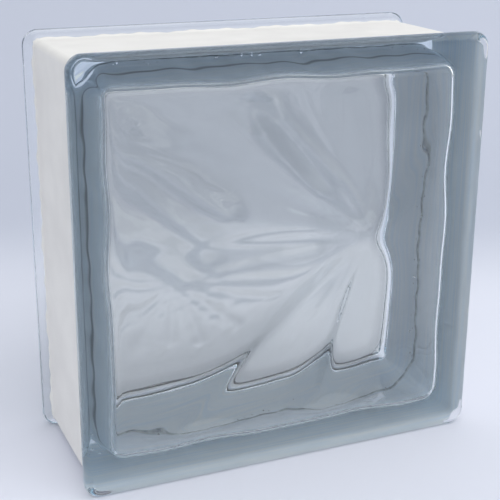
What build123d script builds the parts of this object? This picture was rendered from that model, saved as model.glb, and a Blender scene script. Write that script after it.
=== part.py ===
from build123d import *
import math
import os

# Hollow glass block, stood on its lower edge: X across the face, Y from front to back, Z up.
# Two pressed halves of clear glass are fused at mid depth into one piece round a sealed cavity.
# A white bonding coat lies in the channel that runs round the four edges between the two lips.
# All sizes are in millimetres, all angles in degrees.

# Outside of the block
block_side = 190.0
block_depth = 80.0
outer_corner_radius = 7.0
face_edge_radius = 3.0

# Lip round each face, and the channel between the lips
lip_height = 4.0
lip_width = 5.0
lip_flank_run = 3.0
lip_back_radius = 1.0
channel_cove_radius = 7.0

# Glass round the cavity: the ledge beside the relief, and the drafted wall under the channel
face_glass = 7.0
wall_at_face = 9.0
wall_at_seam = 4.0
cavity_corner_radius = 12.0
inner_edge_radius = 5.0

# Bead of glass squeezed inwards where the halves are fused, drawn with flat sides
bead_radius = 0.6
bead_sides = 6

# Wave relief: each crest starts at a place on the face, in shares of its side from the middle,
# and runs to the panel's edge at a bearing from the right; its height is a share of the face's crests
front_hub_shares = (0.22, 0.03)
front_crest_shares = (
    (front_hub_shares, 56.0, 0.5),
    (front_hub_shares, 100.0, 0.65),
    (front_hub_shares, 131.0, 0.95),
    (front_hub_shares, 151.0, 0.95),
    (front_hub_shares, 178.0, 0.95),
    (front_hub_shares, 221.0, 1.0),
    (front_hub_shares, 254.0, 1.0),
)
front_crest_height = 4.0
front_steep_width = 11.0
front_gentle_width = 18.0
back_hub_shares = (-0.16, -0.12)
back_crest_shares = (
    (back_hub_shares, 5.0, 1.0),
    (back_hub_shares, 180.0, 1.0),
    (back_hub_shares, 219.0, 1.0),
    (back_hub_shares, 320.0, 1.0),
    (back_hub_shares, 345.0, 1.0),
    ((0.03, 0.03), 138.0, 1.0),
    ((-0.05, -0.06), 130.0, 1.0),
    ((-0.11, -0.10), 146.0, 1.0),
    ((0.29, 0.05), 129.0, 1.0),
    ((0.42, -0.03), 140.0, 1.0),
)
back_crest_height = 2.6
back_steep_width = 10.0
back_gentle_width = 14.0
crest_round = 10.0
crest_merge_power = 4
crest_start_run = 13.0
crest_fade_run = 130.0
relief_floor = 0.4
relief_sink = 1.5
ledge_width = 1.0
relief_run_out = 4.0
relief_points = 23
relief_fit = 1.0

# White bonding coat
coat_thickness = 0.4

# Sizes that follow from those above
half_side = block_side / 2
half_depth = block_depth / 2
channel_side = block_side - 2 * lip_height
channel_corner_radius = outer_corner_radius - lip_height
lip_foot = half_depth - lip_width - lip_flank_run
lip_back = half_depth - lip_width
flank_angle = math.degrees(math.atan2(lip_height, lip_flank_run))
cavity_reach = half_depth - face_glass
seam_side = channel_side - 2 * wall_at_seam
rim_side = channel_side - 2 * wall_at_face
draft_angle = math.degrees(math.atan2(wall_at_face - wall_at_seam, cavity_reach))
relief_edge = rim_side / 2 - inner_edge_radius - ledge_width
relief_span = block_side - lip_height
pick_gap = face_edge_radius / 100


def plane_at(depth):
    """Plane across the block at a depth from the middle of it, facing the back."""
    return Plane(origin=(0, depth, half_side), x_dir=(1, 0, 0), z_dir=(0, 1, 0))


def section(depth, side, corner_radius):
    """Square with rounded corners across the block."""
    return plane_at(depth) * RectangleRounded(side, side, corner_radius)


def narrowing(depth, side, corner_radius, run, angle):
    """Block that starts as such a square and narrows towards the back, with flat sides and coned corners."""
    straight = extrude(section(depth, side, corner_radius), run)
    sides = straight.faces().sort_by(Axis.Y)[1:-1]
    return draft(sides, plane_at(depth), angle)


def edges_at(shape, depth):
    """Edges of a shape that lie in one plane across the block."""
    return shape.edges().filter_by_position(Axis.Y, depth - pick_gap, depth + pick_gap)


def crest_rise(across, up, crests, height, steep_width, gentle_width):
    """Height of a face's crests over the relief's floor, at a place measured from the middle of the face."""
    merged = 0.0
    for start_shares, crest_bearing, height_share in crests:
        from_start_across = across - start_shares[0] * block_side
        from_start_up = up - start_shares[1] * block_side
        reach = math.hypot(from_start_across, from_start_up)
        bearing = math.atan2(from_start_up, from_start_across)
        turn = math.remainder(bearing - math.radians(crest_bearing), math.tau)
        offset = 2 * reach * math.sin(turn / 2)
        lean = math.tanh(offset / crest_round)
        width = (steep_width * (1 - lean) + gentle_width * (1 + lean)) / 2
        distance = math.hypot(offset, crest_round) - crest_round
        growth = 1 - math.exp(-((reach / crest_start_run) ** 2))
        fade = math.exp(-((reach / crest_fade_run) ** 2))
        facing = math.cos(turn / 2) ** 8
        crest = height_share * growth * fade * facing * math.exp(-distance / width)
        merged += crest ** crest_merge_power
    return height * merged ** (1 / crest_merge_power)


def panel_share(place):
    """One inside the relief's panel, falling smoothly to nothing past its edge."""
    return (1 - math.tanh((abs(place) - relief_edge) / relief_run_out)) / 2


def relief_surface(crests, height, steep_width, gentle_width):
    """Inner surface of the front face; it sinks into the glass past the panel's edge, under the ledge."""
    rows = []
    for row in range(relief_points):
        up = relief_span * (row / (relief_points - 1) - 0.5)
        points = []
        for column in range(relief_points):
            across = relief_span * (column / (relief_points - 1) - 0.5)
            inside = panel_share(across) * panel_share(up)
            risen = relief_floor + crest_rise(across, up, crests, height, steep_width, gentle_width)
            depth = inside * (risen + relief_sink) - relief_sink - cavity_reach
            points.append((across, depth, half_side + up))
        rows.append(points)
    return Face.make_surface_from_array_of_points(rows, tol=relief_fit, min_deg=3, max_deg=3)


# Outer form: a square core with a lip at each face
core = extrude(section(-half_depth, channel_side, channel_corner_radius), block_depth)
lip_band = extrude(section(-half_depth, block_side, outer_corner_radius), lip_width)
lip_flank = narrowing(-lip_back, block_side, outer_corner_radius, lip_flank_run, flank_angle)
front_lip = lip_band + lip_flank
back_lip = mirror(front_lip, Plane.XZ)
outer_form = core + front_lip + back_lip
outer_form = fillet(edges_at(outer_form, -lip_foot) + edges_at(outer_form, lip_foot), channel_cove_radius)
outer_form = fillet(edges_at(outer_form, -lip_back) + edges_at(outer_form, lip_back), lip_back_radius)
outer_form = fillet(edges_at(outer_form, -half_depth) + edges_at(outer_form, half_depth), face_edge_radius)

# Cavity of one pressed half: drafted walls that open towards the seam, rounded into the face
back_cavity = narrowing(0, seam_side, cavity_corner_radius, cavity_reach, draft_angle)
back_cavity = fillet(edges_at(back_cavity, cavity_reach), inner_edge_radius)
front_cavity = mirror(back_cavity, Plane.XZ)

# Wave relief: everything behind its surface is open cavity; the back one is made facing front and turned
front_relief = relief_surface(front_crest_shares, front_crest_height, front_steep_width, front_gentle_width)
back_relief = relief_surface(back_crest_shares, back_crest_height, back_steep_width, back_gentle_width)
behind_front_relief = Solid.extrude(front_relief, Vector(0, block_depth, 0))
behind_back_relief = mirror(Solid.extrude(back_relief, Vector(0, block_depth, 0)), Plane.XZ)

# Fused seam: a small bead along the inside of the wall at mid depth
seam_path = section(0, seam_side, cavity_corner_radius).face().outer_wire()
bead_start = Plane(origin=seam_path @ 0, z_dir=seam_path % 0)
seam_bead = sweep(bead_start * RegularPolygon(bead_radius, bead_sides), path=seam_path)

# The block: the outer form less its cavity
cavity = front_cavity + back_cavity
cavity = cavity & behind_front_relief
cavity = cavity & behind_back_relief
cavity = cavity - seam_bead
glass_body = outer_form - cavity

# White coat on the floor of the channel, feathered out where the floor curves up to the lips
coat_side = channel_side + 2 * coat_thickness
coat_band = extrude(section(-lip_foot, coat_side, channel_corner_radius + coat_thickness), 2 * lip_foot)
edge_coating = coat_band - outer_form

os.makedirs("parts", exist_ok=True)
export_step(glass_body, "parts/glass_body.step")
export_step(edge_coating, "parts/edge_coating.step")
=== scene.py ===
import math

import bpy
import numpy as np
from mathutils import Matrix, Vector


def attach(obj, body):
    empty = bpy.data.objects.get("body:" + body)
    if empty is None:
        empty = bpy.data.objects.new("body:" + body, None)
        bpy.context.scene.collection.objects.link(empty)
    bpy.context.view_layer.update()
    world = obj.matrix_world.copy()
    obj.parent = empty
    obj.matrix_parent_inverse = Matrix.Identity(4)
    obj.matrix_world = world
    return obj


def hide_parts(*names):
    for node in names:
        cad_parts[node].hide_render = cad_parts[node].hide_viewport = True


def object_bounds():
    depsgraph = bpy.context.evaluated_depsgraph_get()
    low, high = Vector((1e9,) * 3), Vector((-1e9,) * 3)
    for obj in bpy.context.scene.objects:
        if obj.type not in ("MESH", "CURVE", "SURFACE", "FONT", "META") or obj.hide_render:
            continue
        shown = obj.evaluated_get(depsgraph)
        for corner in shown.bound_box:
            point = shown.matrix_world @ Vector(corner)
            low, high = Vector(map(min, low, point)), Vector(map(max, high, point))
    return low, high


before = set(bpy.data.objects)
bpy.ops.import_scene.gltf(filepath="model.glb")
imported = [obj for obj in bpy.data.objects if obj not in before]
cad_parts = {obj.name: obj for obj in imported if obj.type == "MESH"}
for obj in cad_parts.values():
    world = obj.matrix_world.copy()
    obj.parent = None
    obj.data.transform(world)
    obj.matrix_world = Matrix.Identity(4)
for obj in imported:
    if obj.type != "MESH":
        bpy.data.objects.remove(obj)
cad_low, cad_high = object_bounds()

# The block's glass is one hollow piece: two pressed halves fused together at mid depth.
# A lip stands round each face, the inner side of each face carries a wave relief left by the plunger,
# and the fused seam runs round the inside of the drafted walls as a thin uneven bead.
MM = 0.001
block_side = (cad_high[0] - cad_low[0]) / MM
block_depth = (cad_high[1] - cad_low[1]) / MM
half_side = block_side / 2
half_depth = block_depth / 2
outer_corner_radius = 7.0
face_edge_radius = 3.0
lip_height = 4.0
lip_width = 5.0
lip_flank_run = 3.0
lip_back_radius = 1.0
channel_cove_radius = 7.0
channel_half = half_side - lip_height
face_glass = 7.0
wall_at_face = 9.0
wall_at_seam = 4.0
cavity_corner_radius = 12.0
inner_edge_radius = 5.0
seam_half = channel_half - wall_at_seam
rim_half = channel_half - wall_at_face
panel_half = rim_half - inner_edge_radius

side_steps = 132
corner_steps = 8


def square_ring(half, corner_radius):
    """Points of a square with rounded corners, from the lower left corner's middle, against the clock."""
    half = np.broadcast_to(np.asarray(half, float), (4 * side_steps,))
    corner_radius = np.broadcast_to(np.asarray(corner_radius, float), (4 * side_steps,))
    rising = np.linspace(0, 1, corner_steps, endpoint=False)
    straight = np.linspace(-1, 1, side_steps - 2 * corner_steps, endpoint=False)
    arc_angle = np.concatenate([
        math.radians(225) + rising * math.radians(45),
        np.full(straight.size, math.radians(270)),
        math.radians(270) + rising * math.radians(45),
    ])
    along = np.concatenate([np.full(corner_steps, -1.0), straight, np.full(corner_steps, 1.0)])
    across = []
    up = []
    for side in range(4):
        part = slice(side * side_steps, (side + 1) * side_steps)
        core = half[part] - corner_radius[part]
        local_x = along * core + corner_radius[part] * np.cos(arc_angle)
        local_y = -core + corner_radius[part] * np.sin(arc_angle)
        turn = side * math.pi / 2
        across.append(local_x * math.cos(turn) - local_y * math.sin(turn))
        up.append(local_x * math.sin(turn) + local_y * math.cos(turn))
    return np.concatenate(across), np.concatenate(up)


def patch_inside(across, up):
    """Grid of points that fills a ring, blended from its four sides."""
    share = np.linspace(0, 1, side_steps + 1)
    grids = []
    for place in (across, up):
        closed = np.append(place, place[0])
        bottom = closed[0:side_steps + 1]
        right = closed[side_steps:2 * side_steps + 1]
        top = closed[2 * side_steps:3 * side_steps + 1][::-1]
        left = closed[3 * side_steps:4 * side_steps + 1][::-1]
        u = share[None, :]
        v = share[:, None]
        grid = (1 - v) * bottom[None, :] + v * top[None, :] + (1 - u) * left[:, None] + u * right[:, None]
        grid -= (1 - u) * (1 - v) * bottom[0] + u * (1 - v) * bottom[-1]
        grid -= (1 - u) * v * top[0] + u * v * top[-1]
        grids.append(grid)
    return grids


def border_order():
    """Row and column of each grid point on the border of a patch, in a ring's order."""
    steps = np.arange(side_steps)
    rows = np.concatenate([0 * steps, steps, 0 * steps + side_steps, side_steps - steps])
    columns = np.concatenate([steps, 0 * steps + side_steps, side_steps - steps, 0 * steps])
    return rows, columns


def uneven(places, wavelengths, seed):
    """Smooth unevenness round the ring, about one high, from waves of the given lengths."""
    draw = np.random.RandomState(seed)
    total = np.zeros(places.size)
    for wavelength in wavelengths:
        turns = max(1, round(8 * half_side / wavelength))
        total += np.sin(2 * math.pi * (places * turns + draw.rand()))
    return total / math.sqrt(len(wavelengths))


ring_share = np.arange(4 * side_steps) / (4 * side_steps)
corner_gap = np.abs(np.remainder(4 * ring_share + 0.5, 1) - 0.5) * block_side

front_hub_shares = (0.22, 0.03)
front_crest_shares = (
    (front_hub_shares, 56.0, 0.25),
    (front_hub_shares, 100.0, 0.65),
    (front_hub_shares, 131.0, 0.95),
    (front_hub_shares, 151.0, 0.95),
    (front_hub_shares, 178.0, 0.95),
    (front_hub_shares, 221.0, 1.0),
    (front_hub_shares, 254.0, 1.0),
)
front_crest_height = 4.0
front_steep_width = 11.0
front_gentle_width = 18.0
crest_round = 2.5
crest_merge_power = 4
crest_start_run = 13.0
crest_fade_run = 130.0
back_finger_shares = (
    ((-0.01, 0.02), 143.0, 0.40, 1.0, 12.0, 5.0),
    ((-0.08, -0.08), 130.0, 0.32, 1.0, 14.0, 5.0),
    ((-0.13, -0.12), 144.0, 0.26, 0.9, 13.0, 5.0),
    ((0.26, 0.05), 131.0, 0.24, 1.0, 9.0, 4.0),
    ((0.39, -0.03), 143.0, 0.17, 0.9, 10.0, 4.0),
)
back_finger_height = 5.5
back_finger_round = 1.2
burst_hub_shares = (-0.16, -0.13)
burst_start = 4.0
burst_ray_shares = (
    (8.0, 0.38, 0.8),
    (165.0, 0.24, 0.8),
    (186.0, 0.26, 1.0),
    (203.0, 0.24, 0.7),
    (222.0, 0.21, 1.0),
    (243.0, 0.17, 0.7),
    (268.0, 0.15, 0.8),
    (292.0, 0.19, 0.8),
    (318.0, 0.24, 1.0),
    (341.0, 0.32, 0.8),
    (356.0, 0.37, 1.0),
)
burst_ray_height = 1.5
burst_ray_round = 0.8
burst_ray_widths = (3.5, 4.0)
streak_count = 48
streak_seed = 31
streak_hub_shares = (0.37, -0.04)
streak_field_corner = (-0.40, -0.34)
streak_field_share = 0.72
streak_bearing_spread = 14.0
streak_length_shares = (0.06, 0.24)
streak_widths = (2.2, 4.4)
streak_upper_widening = 1.3
streak_height_shares = (0.5, 1.0)
streak_height = 0.65
streak_round = 0.7
flank_foot = 0.18
relief_floor = 0.4
relief_run_out = 4.0


def front_rise(across, up):
    """How far the front face's waves stand into the cavity: long crests that run out from one hub."""
    merged = np.zeros_like(across)
    for start_shares, crest_bearing, height_share in front_crest_shares:
        from_start_across = across - start_shares[0] * block_side
        from_start_up = up - start_shares[1] * block_side
        reach = np.hypot(from_start_across, from_start_up)
        bearing = np.arctan2(from_start_up, from_start_across)
        turn = np.remainder(bearing - math.radians(crest_bearing) + math.pi, 2 * math.pi) - math.pi
        offset = 2 * reach * np.sin(turn / 2)
        lean = np.tanh(offset / crest_round)
        width = (front_steep_width * (1 - lean) + front_gentle_width * (1 + lean)) / 2
        distance = np.hypot(offset, crest_round) - crest_round
        growth = 1 - np.exp(-((reach / crest_start_run) ** 2))
        fade = np.exp(-((reach / crest_fade_run) ** 2))
        facing = np.cos(turn / 2) ** 8
        crest = height_share * growth * fade * facing * np.exp(-distance / width)
        merged += crest ** crest_merge_power
    return relief_floor + front_crest_height * merged ** (1 / crest_merge_power)


def ridges(across, up, lines, height, ridge_round):
    """Straight ridges; each line gives a start, bearing, length, height share and the widths of two flanks."""
    merged = np.zeros_like(across)
    for start_across, start_up, bearing, length, height_share, upper_width, lower_width in lines:
        from_start_across = across - start_across
        from_start_up = up - start_up
        ahead = (math.cos(math.radians(bearing)), math.sin(math.radians(bearing)))
        along = from_start_across * ahead[0] + from_start_up * ahead[1]
        offset = from_start_up * ahead[0] - from_start_across * ahead[1]
        lean = np.tanh(offset / ridge_round)
        width = (upper_width * (1 - lean) + lower_width * (1 + lean)) / 2
        past_end = np.maximum(0, np.maximum(-along, along - length))
        distance = np.sqrt(offset ** 2 + past_end ** 2 + ridge_round ** 2) - ridge_round
        flank = flank_foot * np.logaddexp(0, (1 - distance / width) / flank_foot)
        merged += (height_share * flank) ** crest_merge_power
    return height * merged ** (1 / crest_merge_power)


def between(ends, share):
    """Value at a share of the way between two ends."""
    return ends[0] + (ends[1] - ends[0]) * share


def back_rise(across, up):
    """How far the back face's waves stand into the cavity: blunt fingers, a burst of rays and fine streaks."""
    fingers = []
    for start_shares, bearing, length_share, height_share, upper_width, lower_width in back_finger_shares:
        start = (start_shares[0] * block_side, start_shares[1] * block_side)
        fingers.append((*start, bearing, length_share * block_side, height_share, upper_width, lower_width))
    rays = []
    for bearing, length_share, height_share in burst_ray_shares:
        start_across = burst_hub_shares[0] * block_side + burst_start * math.cos(math.radians(bearing))
        start_up = burst_hub_shares[1] * block_side + burst_start * math.sin(math.radians(bearing))
        length = length_share * block_side
        rays.append((start_across, start_up, bearing, length, height_share, *burst_ray_widths))
    streaks = []
    streak_draw = np.random.RandomState(streak_seed)
    for streak in range(streak_count):
        start_across = (streak_field_corner[0] + streak_field_share * streak_draw.rand()) * block_side
        start_up = (streak_field_corner[1] + streak_field_share * streak_draw.rand()) * block_side
        from_hub_across = start_across - streak_hub_shares[0] * block_side
        from_hub_up = start_up - streak_hub_shares[1] * block_side
        bearing = math.degrees(math.atan2(from_hub_up, from_hub_across))
        bearing += streak_bearing_spread * (streak_draw.rand() - 0.5)
        length = between(streak_length_shares, streak_draw.rand()) * block_side
        width = between(streak_widths, streak_draw.rand())
        upper_width = streak_upper_widening * width
        height_share = between(streak_height_shares, streak_draw.rand())
        streaks.append((start_across, start_up, bearing, length, height_share, upper_width, width))
    risen = ridges(across, up, fingers, back_finger_height, back_finger_round)
    risen = risen + ridges(across, up, rays, burst_ray_height, burst_ray_round)
    return relief_floor + risen + ridges(across, up, streaks, streak_height, streak_round)


def panel_share(place):
    """One inside the relief's panel, falling smoothly to nothing at its edge."""
    return (1 - np.tanh((np.abs(place) - panel_half + relief_run_out) / relief_run_out)) / 2


def rounded_line(points, radii, arc_steps):
    """Line through the points with its inner corners rounded to the given radii."""
    line = [np.array(points[0], float)]
    for before, corner, after, radius in zip(points, points[1:], points[2:], radii):
        corner = np.array(corner, float)
        back = np.array(before, float) - corner
        back /= np.linalg.norm(back)
        ahead = np.array(after, float) - corner
        ahead /= np.linalg.norm(ahead)
        half_angle = math.acos(np.clip(back @ ahead, -1, 1)) / 2
        middle = (back + ahead) / np.linalg.norm(back + ahead)
        centre = corner + middle * radius / math.sin(half_angle)
        first = corner + back * radius / math.tan(half_angle) - centre
        last = corner + ahead * radius / math.tan(half_angle) - centre
        sweep = math.acos(np.clip(first @ last / radius ** 2, -1, 1))
        for step in range(arc_steps + 1):
            share = step / arc_steps
            weights = (math.sin((1 - share) * sweep), math.sin(share * sweep))
            line.append(centre + (first * weights[0] + last * weights[1]) / math.sin(sweep))
    line.append(np.array(points[-1], float))
    return line


class MeshParts:
    """Collects rings and patches of points, and the faces between them, into one mesh."""

    def __init__(self):
        self.points = []
        self.faces = []
        self.stain_and_shade_values = []
        self.count = 0

    def add(self, across, depth, up, stain_and_shade=0.0):
        block = np.stack(np.broadcast_arrays(across, depth, up), -1).reshape(-1, 3)
        first = self.count
        self.points.append(block)
        self.stain_and_shade_values.append(np.broadcast_to(stain_and_shade, len(block)))
        self.count += len(block)
        return np.arange(first, self.count)

    def band(self, ring_a, ring_b, flip):
        next_a = np.roll(ring_a, -1)
        next_b = np.roll(ring_b, -1)
        quads = np.stack([ring_a, next_a, next_b, ring_b], -1)
        self.faces.extend((quads[:, ::-1] if flip else quads).tolist())

    def patch(self, grid, flip):
        quads = np.stack([grid[:-1, :-1], grid[:-1, 1:], grid[1:, 1:], grid[1:, :-1]], -1).reshape(-1, 4)
        self.faces.extend((quads[:, ::-1] if flip else quads).tolist())

    def cap(self, ring, flip):
        self.faces.append((ring[::-1] if flip else ring).tolist())

    def to_object(self, name):
        points = np.concatenate(self.points) + np.array([0, 0, half_side])
        mesh = bpy.data.meshes.new(name)
        mesh.from_pydata((points * MM).tolist(), [], self.faces)
        mesh.update()
        mesh.polygons.foreach_set("use_smooth", [True] * len(mesh.polygons))
        # The attribute carries a real dark stain along the seam, and painted shade inside the back face and
        # along the coat's seam groove.
        stain_and_shade = mesh.attributes.new("stain_and_shade", "FLOAT", "POINT")
        stain_and_shade.data.foreach_set("value", np.concatenate(self.stain_and_shade_values).astype(np.float32))
        made = bpy.data.objects.new(name, mesh)
        bpy.context.scene.collection.objects.link(made)
        return made


glass_parts = MeshParts()

# Outside: flat faces, rounded lips and the channel between them
outer_arc_steps = 6
outer_corner_core = half_side - outer_corner_radius
face_start = outer_corner_core + face_edge_radius / 2
outer_line = rounded_line(
    [
        (face_start, -half_depth),
        (half_side, -half_depth),
        (half_side, lip_width - half_depth),
        (channel_half, lip_width + lip_flank_run - half_depth),
        (channel_half, half_depth - lip_flank_run - lip_width),
        (half_side, half_depth - lip_width),
        (half_side, half_depth),
        (face_start, half_depth),
    ],
    [
        face_edge_radius,
        lip_back_radius,
        channel_cove_radius,
        channel_cove_radius,
        lip_back_radius,
        face_edge_radius,
    ],
    outer_arc_steps,
)
outer_rings = []
for half, depth in outer_line:
    across, up = square_ring(half, half - outer_corner_core)
    outer_rings.append(glass_parts.add(across, depth, up))
glass_parts.cap(outer_rings[0], False)
for ring_a, ring_b in zip(outer_rings, outer_rings[1:]):
    glass_parts.band(ring_b, ring_a, False)
glass_parts.cap(outer_rings[-1], True)

# Inside: relief panels, rounded rims, drafted walls and the fused seam
cavity_corner_core = seam_half - cavity_corner_radius
back_edge_radius = 1.2
rim_sway = 0.6
wall_sway = 0.14
seam_wander = 0.9
seam_wander_reach = 6.0
bead_height = 0.7
bead_spread = 0.9
notch_depth = 0.5
notch_spread = 0.25
stain_spread = 0.6
stain_middle = 0.9
stain_swing = 0.5
stain_least = 0.15
stain_most = 1.3
# Inside the back face: an even grey-green tint, and painted shade that is heavier on the upper half, on steep
# flanks and along the rim.
relief_tint = 0.1
upper_painted_shade = 0.31
upper_shade_middle = -10.0
upper_shade_run = 14.0
flank_painted_shade = 0.16
flank_shade_slope = 0.3
rim_painted_shade = 0.4
rim_shade_power = 8
corner_bead_height = 2.4
corner_bead_spread = 7.0
corner_bead_reach = 9.0
rim_arc_steps = 10
wall_steps = 9
seam_steps = 14
seam_reach = 1.6
rim_uneven = uneven(ring_share, wavelengths=(45.0, 62.0, 95.0), seed=3)
wall_uneven = uneven(ring_share, wavelengths=(18.0, 30.0, 47.0), seed=5)
seam_uneven = uneven(ring_share, wavelengths=(14.0, 34.0, 75.0, 120.0), seed=17)
stain_uneven = stain_middle + stain_swing * uneven(ring_share, wavelengths=(4.0, 7.0, 15.0, 29.0), seed=9)
stain_uneven = np.clip(stain_uneven, stain_least, stain_most)
wall_lean = math.atan2(wall_at_face - wall_at_seam, half_depth - face_glass - inner_edge_radius)


def seam_ring(facing, from_seam, far_half, far_depth):
    """Ring on the drafted wall at a distance from the wandering seam, with its bead, notch and dark seam line.
    """
    share = from_seam / far_depth
    half = seam_half + (far_half - seam_half) * share + wall_sway * wall_uneven * np.sin(math.pi * share)
    corner_bead = corner_bead_height * np.exp(-((corner_gap / corner_bead_reach) ** 2))
    half = half - corner_bead * np.exp(-((from_seam / corner_bead_spread) ** 2))
    half = half - bead_height * np.exp(-((from_seam / bead_spread) ** 2))
    half = half + notch_depth * np.exp(-((from_seam / notch_spread) ** 2))
    across, up = square_ring(half, half - cavity_corner_core)
    depth = facing * from_seam + seam_wander * seam_uneven * np.exp(-((from_seam / seam_wander_reach) ** 2))
    return glass_parts.add(across, depth, up, stain_uneven * np.exp(-((from_seam / stain_spread) ** 2)))


def tint_and_painted_shade(across, up, slope):
    """Grey-green tint inside a face, with painted shade heavier on its upper half, on steep flanks and along
    the rim.
    """
    graded = upper_painted_shade * (1 + np.tanh((up - upper_shade_middle) / upper_shade_run)) / 2
    on_flanks = flank_painted_shade * (1 - np.exp(-((slope / flank_shade_slope) ** 2)))
    along_rim = rim_painted_shade * (1 - panel_share(across) * panel_share(up)) ** rim_shade_power
    return relief_tint + graded + on_flanks + along_rim


def half_cavity(facing, rise_at, tint_and_shade_share, edge_radius):
    """Rings from one face's relief to the seam; facing is -1 for the front half and 1 for the back half."""
    border_half = rim_half - edge_radius + rim_sway * rim_uneven
    border_across, border_up = square_ring(border_half, border_half - cavity_corner_core)
    grid_across, grid_up = patch_inside(border_across, border_up)
    rise = rise_at(grid_across, grid_up) * panel_share(grid_across) * panel_share(grid_up)
    grid_depth = facing * (half_depth - face_glass - rise)
    slope = np.hypot(*np.gradient(rise)) * side_steps / (2 * rim_half)
    # Tint and painted shade on the relief, used on the back face only.
    grid_tint_and_shade = tint_and_shade_share * tint_and_painted_shade(grid_across, grid_up, slope)
    grid = glass_parts.add(grid_across, grid_depth, grid_up, grid_tint_and_shade.ravel()).reshape(grid_across.shape)
    glass_parts.patch(grid, facing < 0)
    border = border_order()
    rings = [grid[border]]
    border_inset = half_depth - np.abs(grid_depth[border])
    for step in range(1, rim_arc_steps + 1):
        angle = (math.pi / 2 - wall_lean) * step / rim_arc_steps
        half = border_half + edge_radius * math.sin(angle)
        inset = border_inset + edge_radius * (1 - math.cos(angle))
        across, up = square_ring(half, half - cavity_corner_core)
        rim_tint_and_shade = tint_and_shade_share * tint_and_painted_shade(across, up, 0.0)
        rings.append(glass_parts.add(across, facing * (half_depth - inset), up, rim_tint_and_shade))
    far_depth = half_depth - inset
    for step in range(1, wall_steps):
        from_seam = far_depth + (seam_reach - far_depth) * step / wall_steps
        rings.append(seam_ring(facing, from_seam, half, far_depth))
    for step in range(seam_steps):
        from_seam = np.full(ring_share.size, seam_reach * (1 - step / seam_steps))
        rings.append(seam_ring(facing, from_seam, half, far_depth))
    for ring_a, ring_b in zip(rings, rings[1:]):
        glass_parts.band(ring_a, ring_b, facing > 0)
    return rings[-1]


front_end = half_cavity(-1, front_rise, 0.0, inner_edge_radius)
back_end = half_cavity(1, back_rise, 1.0, back_edge_radius)
seam_line = seam_ring(1, np.zeros(ring_share.size), rim_half, half_depth)
glass_parts.band(front_end, seam_line, False)
glass_parts.band(seam_line, back_end, False)

# Small air bubbles caught in the wall along the seam, most of them on the left side
bubble_count = 170
bubble_seed = 23
left_share = 0.55
left_side_places = (0.76, 0.99)
other_side_places = (0.0, 0.75)
bubble_wall_places = (1.3, 2.8)
bubble_depths = (0.8, 6.3)
bubble_radii = (0.28, 0.78)
bubble_sides = 6
bubble_rows = 4
bubble_draw = np.random.RandomState(bubble_seed)
for bubble in range(bubble_count):
    side_places = left_side_places if bubble < left_share * bubble_count else other_side_places
    ring_place = int(between(side_places, bubble_draw.rand()) * ring_share.size)
    wall_place = seam_half + between(bubble_wall_places, bubble_draw.rand())
    radius = between(bubble_radii, bubble_draw.rand() ** 2)
    across, up = square_ring(wall_place, wall_place - cavity_corner_core)
    middle = np.array([across[ring_place], between(bubble_depths, bubble_draw.rand()), up[ring_place]])
    rows = []
    for row in range(1, bubble_rows):
        tilt = math.pi * row / bubble_rows
        turn = 2 * math.pi * np.arange(bubble_sides) / bubble_sides
        circle = middle[:, None] + radius * np.stack([
            math.sin(tilt) * np.cos(turn),
            np.full(bubble_sides, math.cos(tilt)),
            math.sin(tilt) * np.sin(turn),
        ])
        rows.append(glass_parts.add(*circle))
    near_pole = glass_parts.add(middle[0], middle[1] + radius, middle[2])[0]
    far_pole = glass_parts.add(middle[0], middle[1] - radius, middle[2])[0]
    for row_a, row_b in zip(rows, rows[1:]):
        glass_parts.band(row_a, row_b, True)
    for side in range(bubble_sides):
        after = (side + 1) % bubble_sides
        glass_parts.faces.append([near_pole, rows[0][after], rows[0][side]])
        glass_parts.faces.append([far_pole, rows[-1][side], rows[-1][after]])

glass_body = glass_parts.to_object("glass_body_clear")

glass = bpy.data.materials.new("clear_pressed_glass")
glass.use_nodes = True
nodes = glass.node_tree.nodes
links = glass.node_tree.links
shader = nodes["Principled BSDF"]
stain_and_shade = nodes.new("ShaderNodeAttribute")
stain_and_shade.attribute_name = "stain_and_shade"
stain_and_shade_ramp = nodes.new("ShaderNodeValToRGB")
stain_and_shade_ramp.color_ramp.elements[0].color = (0.995, 0.998, 1.0, 1.0)
stain_and_shade_ramp.color_ramp.elements[1].color = (0.05, 0.07, 0.085, 1.0)
# The grey-green step of the ramp colours the back face's tint and painted shade; higher values run to the
# near-black seam stain.
tint_step = stain_and_shade_ramp.color_ramp.elements.new(relief_tint)
tint_step.color = (0.615, 0.62, 0.565, 1.0)
links.new(stain_and_shade.outputs["Fac"], stain_and_shade_ramp.inputs["Fac"])
links.new(stain_and_shade_ramp.outputs["Color"], shader.inputs["Base Color"])
shader.inputs["Roughness"].default_value = 0.0
shader.inputs["IOR"].default_value = 1.52
shader.inputs["Transmission Weight"].default_value = 1.0
tint = nodes.new("ShaderNodeVolumeAbsorption")
tint.inputs["Color"].default_value = (0.06, 0.66, 0.98, 1.0)
tint.inputs["Density"].default_value = 2.3
links.new(tint.outputs["Volume"], nodes["Material Output"].inputs["Volume"])
glass_body.data.materials.append(glass)

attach(glass_body, "root")
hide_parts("glass_body")

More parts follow.
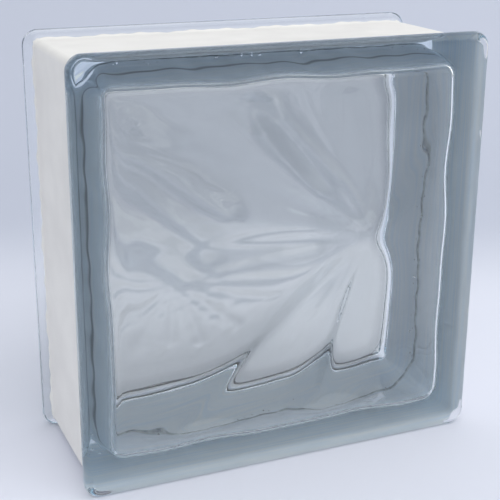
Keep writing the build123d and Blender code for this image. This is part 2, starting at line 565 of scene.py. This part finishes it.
# The white bonding coat is a thin film rolled on the channel's floor on all four edges, to key the mortar.
# It ends unevenly before the back lip, climbs the back of the front lip except at its corners,
# and shows faint roller marks outside and brushed streaks where it is seen through the glass.
coat_thickness = 0.35
coat_bond = 0.05
coat_edge_power = 0.25
back_edge_gap = 0.2
back_edge_depth = half_depth - lip_width - lip_flank_run - back_edge_gap
back_edge_wander = 0.5
front_edge_gap = 0.45
front_edge_depth = half_depth - lip_width - front_edge_gap
front_edge_wander = 0.12
corner_bare = 2.4
corner_bare_reach = 10.0
flank_angle = math.atan2(lip_height, lip_flank_run)
cove_start = half_depth - lip_width - lip_flank_run - channel_cove_radius * math.tan(flank_angle / 2)
coat_steps = 34
coat_parts = MeshParts()
front_edge = front_edge_depth + front_edge_wander * uneven(ring_share, wavelengths=(9.0, 17.0, 41.0), seed=11)
front_edge = front_edge - corner_bare * np.exp(-((corner_gap / corner_bare_reach) ** 2))
back_edge = back_edge_depth + back_edge_wander * uneven(ring_share, wavelengths=(8.0, 19.0, 37.0), seed=13)


def channel_floor(depth):
    """Half width of the channel's floor at a depth, with the cove and flank that rise to each lip."""
    past_start = np.maximum(0, np.abs(depth) - cove_start)
    into_cove = np.minimum(past_start, channel_cove_radius * math.sin(flank_angle))
    rise = channel_cove_radius - np.sqrt(channel_cove_radius ** 2 - into_cove ** 2)
    return channel_half + rise + (past_start - into_cove) * math.tan(flank_angle)


def coat_ring(share, lift, stain_and_shade):
    """Ring of the coat at a share of the way from its front edge to its back, lifted off the floor."""
    depth = -front_edge + (front_edge + back_edge) * share
    half = channel_floor(depth) + lift
    across, up = square_ring(half, half - outer_corner_core)
    return coat_parts.add(across, depth, up, stain_and_shade)


# Painted shade: a dark line along the seam's groove on the coat's bonded side, on the top and left sides, the
# second half of the ring
line_side_start = 0.5
line_fade = 40
painted_seam_shade = np.clip(line_fade * (ring_share - line_side_start), 0, 1)
coat_shares = [(1 - math.cos(math.pi * step / coat_steps)) / 2 for step in range(coat_steps + 1)]
coat_rings = []
for share in coat_shares:
    coat_rings.append(coat_ring(share, coat_thickness * math.sin(math.pi * share) ** coat_edge_power, 0.0))
for share in reversed(coat_shares):
    coat_rings.append(coat_ring(share, -coat_bond, painted_seam_shade))
for ring_a, ring_b in zip(coat_rings, coat_rings[1:] + coat_rings[:1]):
    coat_parts.band(ring_b, ring_a, False)
edge_coat = coat_parts.to_object("edge_coating_white")

white_coat = bpy.data.materials.new("rolled_white_coat")
white_coat.use_nodes = True
nodes = white_coat.node_tree.nodes
links = white_coat.node_tree.links
shader = nodes["Principled BSDF"]
shader.inputs["Roughness"].default_value = 0.62
place = nodes.new("ShaderNodeTexCoord")
roller = nodes.new("ShaderNodeTexNoise")
roller.inputs["Scale"].default_value = 38.0
roller.inputs["Detail"].default_value = 5.0
links.new(place.outputs["Object"], roller.inputs["Vector"])
shade = nodes.new("ShaderNodeValToRGB")
shade.color_ramp.elements[0].position = 0.35
shade.color_ramp.elements[0].color = (0.82, 0.80, 0.775, 1.0)
shade.color_ramp.elements[1].position = 0.65
shade.color_ramp.elements[1].color = (0.89, 0.87, 0.84, 1.0)
links.new(roller.outputs["Fac"], shade.inputs["Fac"])
links.new(shade.outputs["Color"], shader.inputs["Base Color"])
grain = nodes.new("ShaderNodeTexNoise")
grain.inputs["Scale"].default_value = 900.0
grain.inputs["Detail"].default_value = 3.0
links.new(place.outputs["Object"], grain.inputs["Vector"])
bump = nodes.new("ShaderNodeBump")
bump.inputs["Strength"].default_value = 0.25
bump.inputs["Distance"].default_value = 0.0002
links.new(grain.outputs["Fac"], bump.inputs["Height"])
links.new(bump.outputs["Normal"], shader.inputs["Normal"])
edge_coat.data.materials.append(white_coat)

bonded_side = bpy.data.materials.new("coat_bonded_side")
bonded_side.use_nodes = True
nodes = bonded_side.node_tree.nodes
links = bonded_side.node_tree.links
shader = nodes["Principled BSDF"]
shader.inputs["Roughness"].default_value = 0.7
place = nodes.new("ShaderNodeTexCoord")
blotch = nodes.new("ShaderNodeTexNoise")
blotch.inputs["Scale"].default_value = 60.0
blotch.inputs["Detail"].default_value = 6.0
brushed = nodes.new("ShaderNodeMapping")
brushed.inputs["Scale"].default_value = (0.35, 9.0, 0.35)
links.new(place.outputs["Object"], brushed.inputs["Vector"])
links.new(brushed.outputs["Vector"], blotch.inputs["Vector"])
shade = nodes.new("ShaderNodeValToRGB")
shade.color_ramp.elements[0].position = 0.35
shade.color_ramp.elements[0].color = (0.80, 0.90, 0.995, 1.0)
shade.color_ramp.elements[1].position = 0.65
shade.color_ramp.elements[1].color = (0.92, 0.97, 1.0, 1.0)
links.new(blotch.outputs["Fac"], shade.inputs["Fac"])
beside = nodes.new("ShaderNodeSeparateXYZ")
links.new(place.outputs["Object"], beside.inputs["Vector"])
wander = nodes.new("ShaderNodeMath")
wander.operation = "MULTIPLY_ADD"
wander.inputs[1].default_value = 0.002
links.new(blotch.outputs["Fac"], wander.inputs[0])
links.new(beside.outputs["Y"], wander.inputs[2])
# Painted shade line along the seam's groove, only where the attribute marks the top and left sides.
seam_line_near = nodes.new("ShaderNodeMapRange")
seam_line_near.inputs["From Min"].default_value = 0.0003
seam_line_near.inputs["From Max"].default_value = 0.0011
seam_line_near.inputs["To Min"].default_value = 1.0
seam_line_near.inputs["To Max"].default_value = 0.0
distance = nodes.new("ShaderNodeMath")
distance.operation = "ABSOLUTE"
links.new(wander.outputs["Value"], distance.inputs[0])
links.new(distance.outputs["Value"], seam_line_near.inputs["Value"])
seam_shade_sides = nodes.new("ShaderNodeAttribute")
seam_shade_sides.attribute_name = "stain_and_shade"
line_there = nodes.new("ShaderNodeMath")
line_there.operation = "MULTIPLY"
links.new(seam_line_near.outputs["Result"], line_there.inputs[0])
links.new(seam_shade_sides.outputs["Fac"], line_there.inputs[1])
light_left = nodes.new("ShaderNodeMath")
light_left.operation = "MULTIPLY_ADD"
light_left.inputs[1].default_value = -0.65
light_left.inputs[2].default_value = 1.0
links.new(line_there.outputs["Value"], light_left.inputs[0])
darkened = nodes.new("ShaderNodeVectorMath")
darkened.operation = "SCALE"
links.new(shade.outputs["Color"], darkened.inputs[0])
links.new(light_left.outputs["Value"], darkened.inputs["Scale"])
links.new(darkened.outputs["Vector"], shader.inputs["Base Color"])
edge_coat.data.materials.append(bonded_side)
first_bonded_face = (coat_steps + 1) * 4 * side_steps
for face in edge_coat.data.polygons[first_bonded_face:]:
    face.material_index = 1

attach(edge_coat, "root")
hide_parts("edge_coating")

# Studio: a pale paper sweep that is floor and backdrop in one, turned to face the camera, with painted shade
# darker towards its front edge and behind the block.
# It lies level under the block and curves up far behind it. A large soft box stands in front of the block,
# a narrow strip lamp to its right, and an even surround fills in the rest.
sweep_turn = math.radians(-23.57)
sweep_width = 4.0
sweep_front = -1.6
sweep_bend = 0.45
sweep_radius = 0.6
sweep_top = 0.62
bend_steps = 24
outline = [(sweep_front, 0.0), (sweep_bend, 0.0)]
for step in range(1, bend_steps + 1):
    angle = math.pi / 2 * step / bend_steps
    outline.append((sweep_bend + sweep_radius * math.sin(angle), sweep_radius * (1 - math.cos(angle))))
outline.append((sweep_bend + sweep_radius, sweep_top))
sweep_points = []
sweep_faces = []
for index, (depth, height) in enumerate(outline):
    sweep_points.append((-sweep_width / 2, depth, height))
    sweep_points.append((sweep_width / 2, depth, height))
    if index:
        corner = 2 * index
        sweep_faces.append((corner - 2, corner - 1, corner + 1, corner))
sweep_mesh = bpy.data.meshes.new("studio_sweep")
sweep_mesh.from_pydata(sweep_points, [], sweep_faces)
sweep_mesh.polygons.foreach_set("use_smooth", [True] * len(sweep_faces))
studio_sweep = bpy.data.objects.new("studio_sweep", sweep_mesh)
studio_sweep.rotation_euler = (0.0, 0.0, sweep_turn)
bpy.context.scene.collection.objects.link(studio_sweep)

paper = bpy.data.materials.new("pale_paper_sweep")
paper.use_nodes = True
nodes = paper.node_tree.nodes
links = paper.node_tree.links
shader = nodes["Principled BSDF"]
shader.inputs["Roughness"].default_value = 0.8
place = nodes.new("ShaderNodeTexCoord")
height = nodes.new("ShaderNodeSeparateXYZ")
links.new(place.outputs["Object"], height.inputs["Vector"])
mottle = nodes.new("ShaderNodeTexNoise")
mottle.inputs["Scale"].default_value = 3.0
mottle.inputs["Detail"].default_value = 3.0
links.new(place.outputs["Object"], mottle.inputs["Vector"])
mottled = nodes.new("ShaderNodeMath")
mottled.operation = "MULTIPLY_ADD"
mottled.inputs[1].default_value = 0.03
links.new(mottle.outputs["Fac"], mottled.inputs[0])
links.new(height.outputs["Y"], mottled.inputs[2])
# Painted shade: the paper is pale round the block and darker towards its front edge and from a little behind
# the block onward.
spread = nodes.new("ShaderNodeMapRange")
spread.inputs["From Min"].default_value = -0.5
spread.inputs["From Max"].default_value = 0.36
links.new(mottled.outputs["Value"], spread.inputs["Value"])
painted_shade_zones = nodes.new("ShaderNodeValToRGB")
painted_shade_zones.color_ramp.interpolation = "EASE"
painted_shade_zones.color_ramp.elements[0].position = 0.0
painted_shade_zones.color_ramp.elements[0].color = (0.55, 0.565, 0.625, 1.0)
painted_shade_zones.color_ramp.elements[1].position = 1.0
painted_shade_zones.color_ramp.elements[1].color = (0.58, 0.61, 0.71, 1.0)
for position, colour in ((0.3, (0.79, 0.81, 0.905, 1.0)), (0.78, (0.78, 0.80, 0.895, 1.0))):
    zone = painted_shade_zones.color_ramp.elements.new(position)
    zone.color = colour
links.new(spread.outputs["Result"], painted_shade_zones.inputs["Fac"])
links.new(painted_shade_zones.outputs["Color"], shader.inputs["Base Color"])
studio_sweep.data.materials.append(paper)


def soft_box(name, place, target, size, watts):
    """White square area lamp that faces a target."""
    lamp = bpy.data.lights.new(name, "AREA")
    lamp.size = size
    lamp.energy = watts
    made = bpy.data.objects.new(name, lamp)
    made.location = place
    made.rotation_euler = (Vector(target) - Vector(place)).to_track_quat("-Z", "Y").to_euler()
    bpy.context.scene.collection.objects.link(made)
    return made


block_middle = (0.0, 0.0, half_side * MM)
side_strip = soft_box("side_strip", (1.5, -0.75, 0.75), block_middle, size=0.3, watts=2.5)
side_strip.data.shape = "RECTANGLE"
side_strip.data.size_y = 1.1
soft_box("front_box", (0.3, -1.35, 1.2), block_middle, size=2.4, watts=20.0)

world = bpy.data.worlds.new("studio_surround")
bpy.context.scene.world = world
world.use_nodes = True
surround = world.node_tree.nodes["Background"]
sky_place = world.node_tree.nodes.new("ShaderNodeTexCoord")
sky_height = world.node_tree.nodes.new("ShaderNodeSeparateXYZ")
sky_tone = world.node_tree.nodes.new("ShaderNodeValToRGB")
sky_tone.color_ramp.elements[0].position = 0.0
sky_tone.color_ramp.elements[0].color = (0.52, 0.536, 0.552, 1.0)
sky_tone.color_ramp.elements[1].position = 1.0
sky_tone.color_ramp.elements[1].color = (0.84, 0.865, 0.885, 1.0)
world.node_tree.links.new(sky_place.outputs["Generated"], sky_height.inputs["Vector"])
world.node_tree.links.new(sky_height.outputs["Z"], sky_tone.inputs["Fac"])
world.node_tree.links.new(sky_tone.outputs["Color"], surround.inputs["Color"])
surround.inputs["Strength"].default_value = 1.0

# Camera: a little above the block and to its left, fitted to the block's corners in a square picture.
camera_place = Vector((-0.1998, -0.4527, 0.2568))
camera_yaw = math.radians(23.57)
camera_pitch = math.radians(-18.75)
camera_roll = math.radians(0.41)
picture_size = 500
focal_pixels = 1124.6
camera_data = bpy.data.cameras.new("camera")
camera_data.sensor_fit = "HORIZONTAL"
camera_data.lens = camera_data.sensor_width * focal_pixels / picture_size
camera = bpy.data.objects.new("camera", camera_data)
ahead = Vector((
    math.sin(camera_yaw) * math.cos(camera_pitch),
    math.cos(camera_yaw) * math.cos(camera_pitch),
    math.sin(camera_pitch),
))
level_right = Vector((math.cos(camera_yaw), -math.sin(camera_yaw), 0.0))
level_up = level_right.cross(ahead)
right = level_right * math.cos(camera_roll) + level_up * math.sin(camera_roll)
upward = level_up * math.cos(camera_roll) - level_right * math.sin(camera_roll)
camera.matrix_world = Matrix.Translation(camera_place) @ Matrix((right, upward, -ahead)).transposed().to_4x4()
bpy.context.scene.collection.objects.link(camera)
bpy.context.scene.camera = camera
bpy.context.scene.view_settings.view_transform = "Standard"
light_paths = bpy.context.scene.cycles
light_paths.max_bounces = 48
light_paths.diffuse_bounces = 20
light_paths.glossy_bounces = 36
light_paths.transmission_bounces = 36
